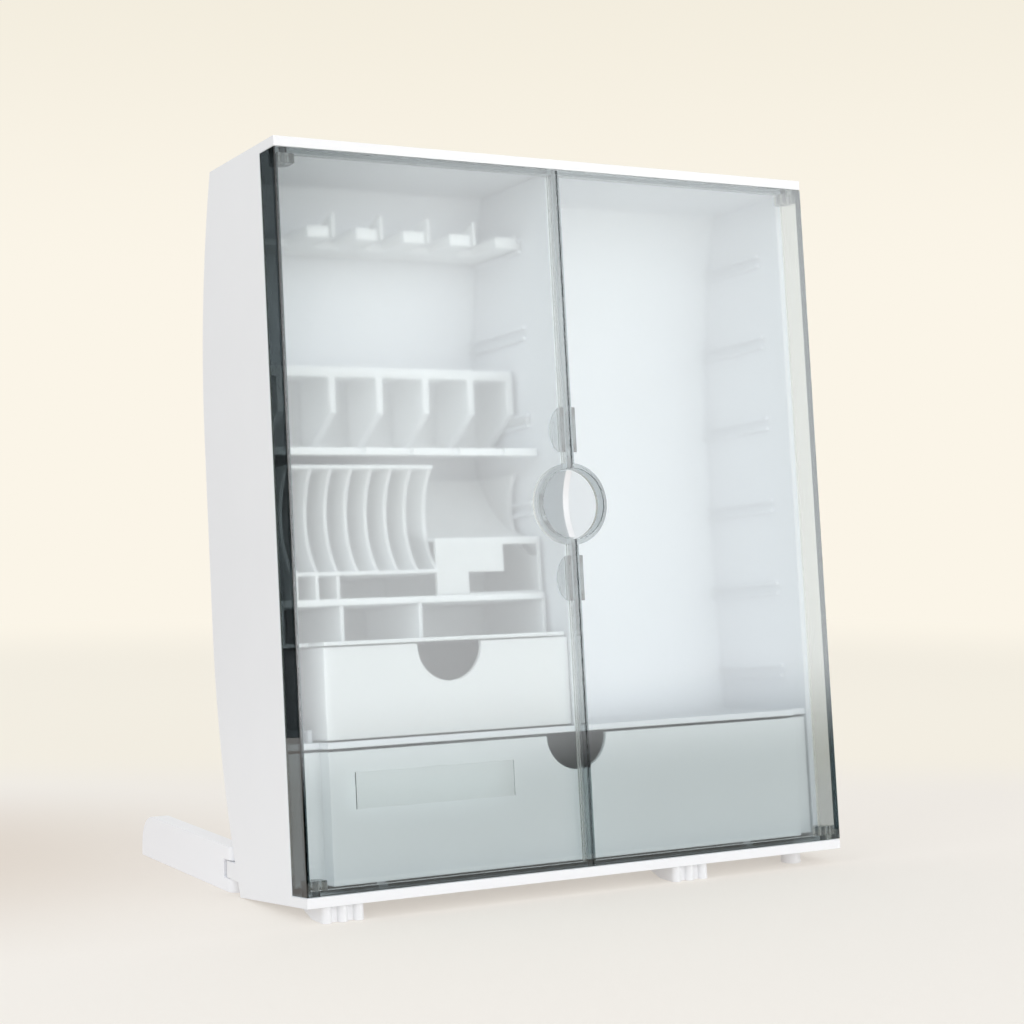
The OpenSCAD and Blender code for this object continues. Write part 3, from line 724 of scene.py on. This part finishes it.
@dataclass
class Case:
    """The white case, its walls, rails, feet and shelf.

    Attributes:
        shell_edge_mm: Soft edges of the outer walls.
        wall_edge_mm: Soft edges of the thin inner walls.
        rib_edge_mm: Soft edges of the ribs and feet.
    """

    shell_edge_mm: float = 0.5
    wall_edge_mm: float = 0.3
    rib_edge_mm: float = 0.25

    def build(self, shop: Workshop) -> None:
        """Dresses the case.

        Args:
            shop: The workshop.
        """
        edges = {"case_shell": self.shell_edge_mm,
                 "drawer_shelf": self.wall_edge_mm,
                 "centre_partition": self.wall_edge_mm}
        ribbed = ("left_wall_rails", "partition_left_rails", "partition_right_rails",
                  "right_wall_rails", "left_front_foot", "right_front_foot", "front_stub_foot")
        edges.update({node: self.rib_edge_mm for node in ribbed})
        for node, edge_mm in edges.items():
            shop.settle(shop.moulded_copy(node, edge_mm), Look.CASE_WHITE, "white_case", node)


@dataclass
class Doors:
    """The two smoke-clear doors with their blocks, catches, plaque and pins.

    Attributes:
        edge_mm: Soft edges of the doors and of what is moulded on them.
        part_mm: How far the small clear pieces are drawn in, so that they
            don't share a face with their door.
        pin_edge_mm: Soft edges of the hinge pins.
    """

    edge_mm: float = 0.1
    part_mm: float = 0.03
    pin_edge_mm: float = 0.15

    def build(self, shop: Workshop) -> None:
        """Dresses both doors.

        Args:
            shop: The workshop.
        """
        for side in ("left", "right"):
            door = f"{side}_door"
            shop.settle(shop.moulded_copy(door, self.edge_mm),
                        Look.SMOKE, "smoke_clear", door)
            extras = {f"{door}_catches": Look.SMOKE, f"{door}_blocks": Look.SMOKE_BLOCK}
            if side == "left":
                extras["left_door_plaque"] = Look.SMOKE
            for node, look in extras.items():
                shop.settle(shop.moulded_copy(node, self.edge_mm, self.part_mm),
                            look, "smoke_clear", node)
            for height in ("upper", "lower"):
                pin = f"{side}_{height}_hinge_pin"
                shop.settle(shop.moulded_copy(pin, self.pin_edge_mm),
                            Look.PIN_DARK, "dark_pin", pin)


@dataclass
class Drawers:
    """The small white drawer and the wide grey one.

    Attributes:
        edge_mm: Soft edges of both drawers.
    """

    edge_mm: float = 0.35

    def build(self, shop: Workshop) -> None:
        """Dresses both drawers.

        Args:
            shop: The workshop.
        """
        shop.settle(shop.moulded_copy("small_drawer", self.edge_mm),
                    Look.INSERT_WHITE, "white_insert", "small_drawer")
        shop.settle(shop.moulded_copy("large_drawer", self.edge_mm),
                    Look.DRAWER_GREY, "grey_satin", "large_drawer")


@dataclass
class Inserts:
    """The bobbin insert and the two presser foot inserts.

    Attributes:
        edge_mm: Soft edges of the thin plates.
    """

    edge_mm: float = 0.2

    def build(self, shop: Workshop) -> None:
        """Dresses the inserts.

        Args:
            shop: The workshop.
        """
        for node in ("bobbin_rack", "notions_tray", "tool_scoop",
                     "lower_foot_insert", "upper_foot_insert"):
            shop.settle(shop.moulded_copy(node, self.edge_mm),
                        Look.INSERT_WHITE, "white_insert", node)


@dataclass
class RearLegs:
    """The two folding legs and their steel pins.

    Attributes:
        edge_mm: Soft edges of the legs.
        pin_edge_mm: Soft edges of the pins.
    """

    edge_mm: float = 0.5
    pin_edge_mm: float = 0.2

    def build(self, shop: Workshop) -> None:
        """Dresses the legs.

        Args:
            shop: The workshop.
        """
        for side in ("left", "right"):
            leg, pin = f"{side}_leg", f"{side}_leg_pin"
            shop.settle(shop.moulded_copy(leg, self.edge_mm), Look.LEG_WHITE, "white_leg", leg)
            shop.settle(shop.moulded_copy(pin, self.pin_edge_mm), Look.PIN_STEEL, "steel_pin", pin)


# ---- Table, light and camera ---------------------------------------------


def hang_card(name: str, reach: float, placing: Matrix,
              finish: bpy.types.Material) -> bpy.types.Object:
    """Hangs a flat square around the box.

    Args:
        name: Name of the card.
        reach: Half its side, in metres.
        placing: Where it hangs and how it is turned.
        finish: Its material.

    Returns:
        The card.
    """
    mesh = bpy.data.meshes.new(name)
    work = bmesh.new()
    bmesh.ops.create_grid(work, x_segments=1, y_segments=1, size=reach)
    work.to_mesh(mesh)
    work.free()
    mesh.materials.append(finish)
    card = bpy.data.objects.new(name, mesh)
    card.matrix_world = placing
    bpy.context.scene.collection.objects.link(card)
    return card


def standing(place: Place, turn: float) -> Matrix:
    """Works out how a card stands upright.

    Args:
        place: The card's middle.
        turn: Its turn about the vertical. At 0 it faces the front.

    Returns:
        The placing.
    """
    upright = Matrix.Rotation(math.radians(90), 4, "X")
    return Matrix.Translation(place) @ Matrix.Rotation(math.radians(turn), 4, "Z") @ upright


def show_in_gloss_alone(card: bpy.types.Object) -> None:
    """Hides a card from all but the reflections in glossy faces."""
    card.visible_camera = False
    card.visible_diffuse = False
    card.visible_transmission = False
    card.visible_shadow = False


@dataclass(frozen=True)
class View:
    """The camera.

    Attributes:
        place: Where it stands.
        yaw: Its turn to the right of +Y.
        pitch: Its tilt above the horizon.
        lens_mm: Focal length.
        sensor_mm: Width of its sensor.
        sight: Nearest and farthest distance that it sees.
    """

    place: Place = (-0.4740, -0.8268, 0.1753)
    yaw: float = 30.49
    pitch: float = -1.10
    lens_mm: float = 74.24
    sensor_mm: float = 36.0
    sight: Span = (0.01, 100.0)

    def ahead(self) -> Place:
        """Level direction that the camera looks in."""
        yaw = math.radians(self.yaw)
        return math.sin(yaw), math.cos(yaw), 0.0

    def build(self) -> None:
        """Makes the camera and looks through it."""
        data = bpy.data.cameras.new("camera")
        data.lens = self.lens_mm
        data.sensor_width = self.sensor_mm
        data.clip_start, data.clip_end = self.sight
        camera = bpy.data.objects.new("camera", data)
        camera.location = self.place
        camera.rotation_euler = (math.radians(90 + self.pitch), 0.0, -math.radians(self.yaw))
        bpy.context.scene.collection.objects.link(camera)
        bpy.context.scene.camera = camera


@dataclass(frozen=True)
class Room:
    """The pale room: its even light, and the tones that are seen of it.

    Attributes:
        low: Linear colour of the room at eye level and below.
        high: Linear colour of the room higher up.
        rise: How steeply up, as a sine, the change starts and ends.
        light: Linear colour of the even light.
        light_level: Strength of that light.
    """

    low: Colour = linear(251, 245, 232)
    high: Colour = linear(242, 236, 221)
    rise: Span = (0.08, 0.26)
    light: Colour = (0.98, 0.99, 1.0, 1.0)
    light_level: float = 0.86

    def build(self) -> None:
        """Sets the even light, and the room's colour where it is seen."""
        world = bpy.data.worlds.new("room")
        bpy.context.scene.world = world
        world.use_nodes = True
        graph = Graph(world.node_tree)
        path = graph.add("ShaderNodeLightPath")
        through = graph.math("MAXIMUM", path.outputs["Is Glossy Ray"],
                             path.outputs["Is Transmission Ray"])
        seen = graph.math("MAXIMUM", path.outputs["Is Camera Ray"], through)
        even = graph.add("ShaderNodeBackground", Strength=self.light_level, Color=self.light)
        way = graph.add("ShaderNodeTexCoord").outputs["Generated"]
        up = graph.remap(graph.split(way).outputs["Z"], *self.rise, 0.0, 1.0)
        wall = graph.add("ShaderNodeBackground", Strength=1.0)
        graph.link(graph.tone(up, self.low, self.high), wall.inputs["Color"])
        both = graph.blend(seen, even.outputs["Background"], wall.outputs["Background"])
        graph.show(both, "ShaderNodeOutputWorld")


@dataclass(frozen=True)
class Table:
    """The pale cloth that the box stands on.

    Attributes:
        cloth: Linear colour of the cloth.
        painted_shadow: Linear colour of a soft shadow of the box, painted onto the
            cloth beside the left leg.
        painted_shadow_at: Middle of that painted shadow.
        painted_shadow_fade: Radii between which the painted shadow fades out.
        horizon: Distance in front of the camera at which the cloth's tone
            gives way to the room's.
        horizon_blend: Half width of that change.
        melt: Radii between which the cloth itself gives way to the room.
        roughness: Roughness of the cloth.
        glow_share: Share of the cloth's light that doesn't hang on the lamps.
        glow_level: Strength of that share.
        weave: Strength of the weave.
        weave_mm: Depth of the weave.
        reach: Half side of the sheet.
    """

    cloth: Colour = linear(247, 242, 235)
    painted_shadow: Colour = linear(229, 219, 208)
    painted_shadow_at: Place = (-0.26, 0.14, 0.0)
    painted_shadow_fade: Span = (0.04, 0.26)
    horizon: float = 1.22
    horizon_blend: float = 0.09
    melt: Span = (0.96, 1.6)
    roughness: float = 0.9
    glow_share: float = 0.34
    glow_level: float = 0.98
    weave: float = 0.2
    weave_mm: float = 0.4
    reach: float = 12.0

    def tones(self, graph: Graph, spot: bpy.types.NodeSocket, room: Room,
              view: View) -> bpy.types.NodeSocket:
        """Lays out the cloth's tones: near, far, and a painted shadow of the box.

        Args:
            graph: The material's graph.
            spot: Socket of the place on the table.
            room: The room, whose tone the far end takes.
            view: The camera, which the far end is measured from.

        Returns:
            The colour's socket.
        """
        ahead = view.ahead()
        start = sum(part * way for part, way in zip(view.place, ahead))
        edge = start + self.horizon
        beyond = graph.remap(graph.along(spot, ahead), edge - self.horizon_blend,
                             edge + self.horizon_blend, 0.0, 1.0)
        # Painted shadow: a soft darker patch on the cloth beside the left leg, standing for the
        # box's shadow
        away = graph.add("ShaderNodeVectorMath", operation="DISTANCE")
        graph.link(spot, away.inputs[0])
        away.inputs[1].default_value = self.painted_shadow_at
        painted_shadow_share = graph.remap(away.outputs["Value"], *self.painted_shadow_fade, 1.0, 0.0)
        return graph.tone(painted_shadow_share, graph.tone(beyond, self.cloth, room.low), self.painted_shadow)

    def material(self, room: Room, view: View) -> bpy.types.Material:
        """Builds the cloth, which melts into the room far away.

        Args:
            room: The room that it melts into.
            view: The camera.

        Returns:
            The finished material.
        """
        made, graph = new_material("table_cloth")
        spot = graph.spot()
        tone = self.tones(graph, spot, room, view)
        matt = graph.add("ShaderNodeBsdfPrincipled", Roughness=self.roughness,
                         Specular_IOR_Level=0.0)
        graph.link(tone, matt.inputs["Base Color"])
        graph.relief(graph.noise(WEAVE_SCALE, octaves=4), self.weave, self.weave_mm, matt)
        glow = graph.add("ShaderNodeEmission", Strength=self.glow_level)
        graph.link(tone, glow.inputs["Color"])
        near = graph.blend(self.glow_share, matt.outputs["BSDF"], glow.outputs["Emission"])
        far = graph.add("ShaderNodeEmission", Strength=1.0, Color=room.low)
        radius = graph.add("ShaderNodeVectorMath", operation="LENGTH")
        graph.link(spot, radius.inputs[0])
        melted = graph.remap(radius.outputs["Value"], *self.melt, 0.0, 1.0)
        graph.show(graph.blend(melted, near, far.outputs["Emission"]))
        return made

    def build(self, room: Room, view: View) -> None:
        """Lays the sheet under the box.

        Args:
            room: The room that the cloth melts into.
            view: The camera.
        """
        hang_card("table", self.reach, Matrix.Identity(4), self.material(room, view))


@dataclass(frozen=True)
class Window:
    """The bright window that the doors mirror, with soft edges.

    Attributes:
        azimuth: Its direction from the box, to the right of the front.
        distance: How far away it is.
        height: Height of its middle.
        reach: Half its side.
        colour: Linear colour of its light.
        level: Strength of its light.
        left: Where its light starts and is full, from its left.
        slant: How far the left edge leans over for each metre up.
        slant_foot: How far below the middle the lean starts.
        right: Where its light starts to fade and ends, towards its right.
        low: Where its light starts and is full, from below.
        high: Where its light starts to fade and ends, towards the top.
    """

    azimuth: float = 33.0
    distance: float = 2.6
    height: float = 0.8
    reach: float = 1.0
    colour: Colour = (0.96, 0.98, 1.0, 1.0)
    level: float = 7.3
    left: Span = (-0.9, -0.35)
    slant: float = 0.3
    slant_foot: float = 0.2
    right: Span = (0.35, 0.8)
    low: Span = (-0.69, -0.5)
    high: Span = (0.1, 0.95)

    def material(self) -> bpy.types.Material:
        """Builds the window's light.

        Returns:
            The finished material.
        """
        made, graph = new_material("window_light")
        place = graph.split(graph.spot())
        across, up = place.outputs["X"], place.outputs["Y"]
        lean = graph.math("MULTIPLY", graph.math("ADD", up, self.slant_foot), self.slant)
        from_left = graph.remap(graph.math("SUBTRACT", across, lean), *self.left, 0.0, 1.0)
        from_right = graph.remap(across, *self.right, 1.0, 0.0)
        from_sill = graph.remap(up, *self.low, 0.0, 1.0)
        from_head = graph.remap(up, *self.high, 1.0, 0.0)
        pane = graph.math("MULTIPLY", graph.math("MULTIPLY", from_left, from_right),
                          graph.math("MULTIPLY", from_sill, from_head))
        glow = graph.add("ShaderNodeEmission", Color=self.colour)
        graph.link(graph.math("MULTIPLY", pane, self.level), glow.inputs["Strength"])
        graph.show(glow.outputs["Emission"])
        return made

    def build(self) -> None:
        """Hangs the window."""
        azimuth = math.radians(self.azimuth)
        place = (self.distance * math.sin(azimuth), -self.distance * math.cos(azimuth),
                 self.height)
        show_in_gloss_alone(hang_card("window", self.reach, standing(place, self.azimuth),
                                      self.material()))


@dataclass(frozen=True)
class Flag:
    """The dark flag behind the box, which the left flanges mirror.

    Attributes:
        colour: Linear colour of its cloth.
        place: Where its middle stands.
        turn: Its turn about the vertical.
        reach: Half its side.
    """

    colour: Colour = (0.045, 0.05, 0.052, 1.0)
    place: Place = (-0.42, 0.41, 0.2)
    turn: float = 30.0
    reach: float = 0.36

    def build(self) -> None:
        """Stands the flag behind the box."""
        made, graph = new_material("flag_cloth")
        cloth = graph.add("ShaderNodeEmission", Color=self.colour)
        graph.show(cloth.outputs["Emission"])
        show_in_gloss_alone(hang_card("flag", self.reach, standing(self.place, self.turn), made))


@dataclass(frozen=True)
class SoftLamp:
    """A square soft lamp that no gloss mirrors.

    Attributes:
        name: Name of the lamp.
        place: Where it hangs.
        aim: What it points at.
        side: Its side.
        watts: Its power.
        colour: Its linear colour.
    """

    name: str
    place: Place
    aim: Place
    side: float
    watts: float
    colour: Place = WHITE[:3]

    def build(self) -> None:
        """Hangs the lamp."""
        data = bpy.data.lights.new(self.name, "AREA")
        data.shape = "SQUARE"
        data.size = self.side
        data.energy = self.watts
        data.color = self.colour
        lamp = bpy.data.objects.new(self.name, data)
        lamp.location = self.place
        turn = (Vector(self.aim) - Vector(self.place)).to_track_quat("-Z", "Y")
        lamp.rotation_euler = turn.to_euler()
        lamp.visible_glossy = False
        bpy.context.scene.collection.objects.link(lamp)


@dataclass(frozen=True)
class Studio:
    """Everything around the box.

    Attributes:
        view: The camera.
        room: The room's light and tones.
        table: The table.
        window: The window that the doors mirror.
        flag: The dark flag that the left flanges mirror.
        lamps: The soft lamps.
    """

    view: View = View()
    room: Room = Room()
    table: Table = Table()
    window: Window = Window()
    flag: Flag = Flag()
    lamps: tuple[SoftLamp, ...] = (
        SoftLamp("front", (-0.1, -2.7, 0.75), (0.0, 0.0, 0.15), side=2.2, watts=17.5),
        SoftLamp("left", (-2.4, -0.6, 1.4), (0.0, 0.0, 0.12), side=1.4, watts=10.5,
                 colour=(0.84, 0.93, 1.0)))

    def build(self) -> None:
        """Sets up everything around the box."""
        bpy.context.scene.view_settings.view_transform = "Standard"
        self.view.build()
        self.table.build(self.room, self.view)
        self.room.build()
        self.window.build()
        self.flag.build()
        for lamp in self.lamps:
            lamp.build()
        LOG.info("studio ready")


def clear_scene() -> None:
    """Removes whatever Blender started with."""
    for thing in list(bpy.data.objects):
        bpy.data.objects.remove(thing)


def main() -> None:
    """Builds the dressed box and its studio."""
    logging.basicConfig(level=logging.INFO, format="%(name)s: %(message)s")
    clear_scene()
    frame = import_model()
    shop = Workshop(frame)
    shop.stock()
    for assembly in (Case(), Doors(), Drawers(), Inserts(), RearLegs()):
        assembly.build(shop)
        LOG.info("%s done", type(assembly).__name__)
    Studio().build()


if __name__ == "__main__":
    main()
